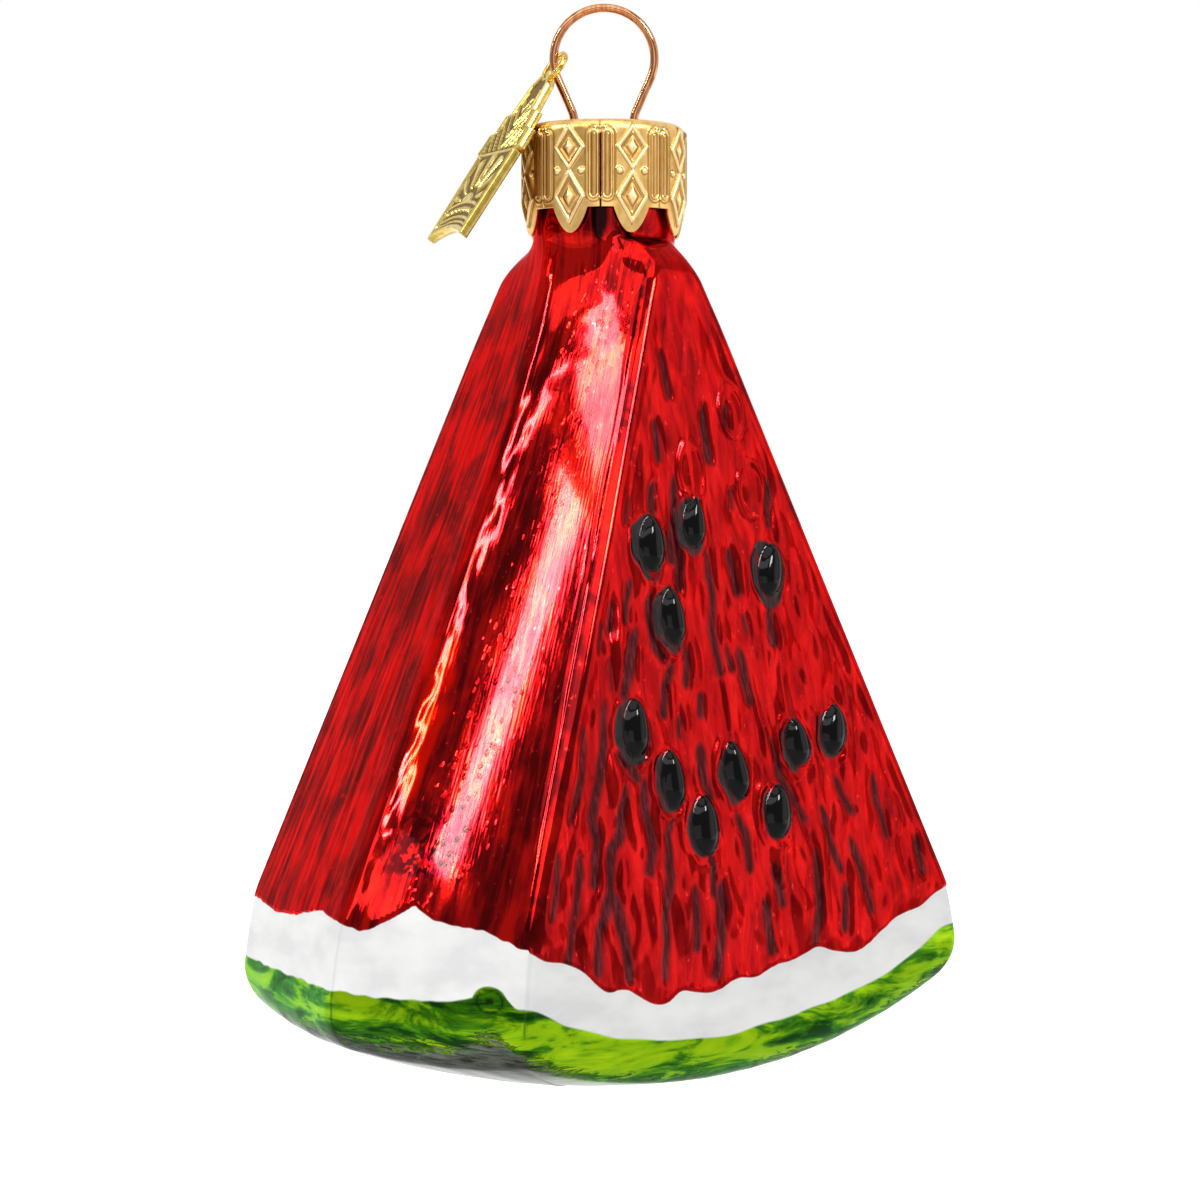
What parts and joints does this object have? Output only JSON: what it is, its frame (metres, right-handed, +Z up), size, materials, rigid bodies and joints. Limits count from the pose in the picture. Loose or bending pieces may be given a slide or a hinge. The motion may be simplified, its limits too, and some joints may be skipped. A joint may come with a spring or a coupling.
{
  "type": "watermelon slice ornament",
  "caption": "Hanging blown glass ornament in the form of a watermelon slice, with a removable toothed metal cap, a spring wire loop and a swinging metal tag.",
  "frame": {"origin": "inside the top of the wire loop, where a hook carries the ornament", "axes": "+Z up along the neck, +Y square to the seeded faces, +X along the slice's width"},
  "size_m": [0.0633, 0.042, 0.0991],
  "materials": {
    "painted_glass": "silvered inside, lacquered translucent red outside, with painted rind and seeds",
    "gold_sheet": "stamped sheet, satin gold anodised look",
    "copper_wire": "bright copper-coloured spring wire",
    "cast_gold": "bright pale gold plate with dark antiquing in the grooves"
  },
  "bodies": {
    "hanger": {"hanger_wire": "copper_wire"},
    "cap": {"cap": "gold_sheet"},
    "glass": {"glass_body": "painted_glass"},
    "tag": {"tag": "cast_gold"}
  },
  "joints": [
    {"name": "tag_swing", "type": "hinge", "parent": "hanger", "child": "tag", "pos_m": [-0.00346, 0.00304, -0.00508], "axis": [0.2807, 0.9598, 0], "range_deg": [0, 85]},
    {"name": "loop_draw", "type": "slide", "parent": "hanger", "child": "cap", "axis": [0, 0, -1], "range_m": [0, 0.006]},
    {"name": "glass_pull", "type": "slide", "parent": "cap", "child": "glass", "axis": [0, 0, -1], "range_m": [0, 0.026]}
  ]
}
